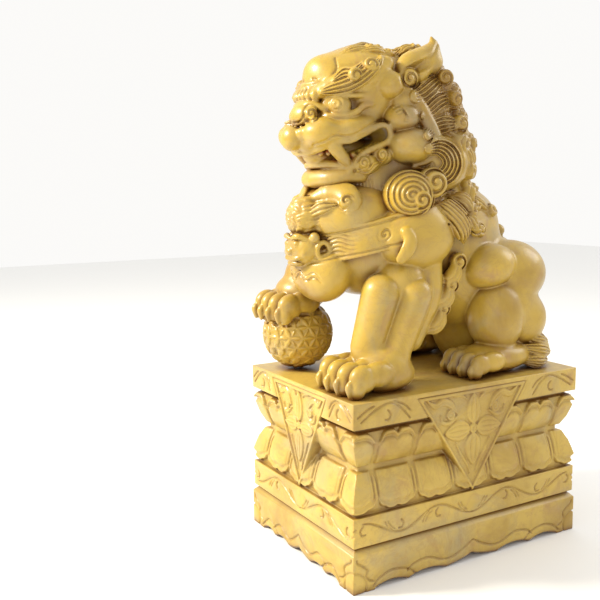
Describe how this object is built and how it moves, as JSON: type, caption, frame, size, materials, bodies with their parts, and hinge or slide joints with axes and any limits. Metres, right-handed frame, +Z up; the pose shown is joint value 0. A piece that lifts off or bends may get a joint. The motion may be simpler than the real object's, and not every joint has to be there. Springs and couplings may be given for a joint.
{
  "type": "guardian lion statue",
  "caption": "Seated marble guardian lion with a carved ball under its right forepaw, on a tall lotus plinth with cloth drapes and a scalloped foot.",
  "frame": {"origin": "centre of the plinth's underside", "axes": "+Z up, -Y the way the lion looks, +X the lion's left"},
  "size_m": [0.79, 1.1705, 2.0103],
  "materials": {
    "lion_marble": "polished yellow marble",
    "plinth_marble": "honed yellow marble"
  },
  "bodies": {
    "root": {"lion": "lion_marble", "plinth": "plinth_marble"}
  },
  "joints": []
}
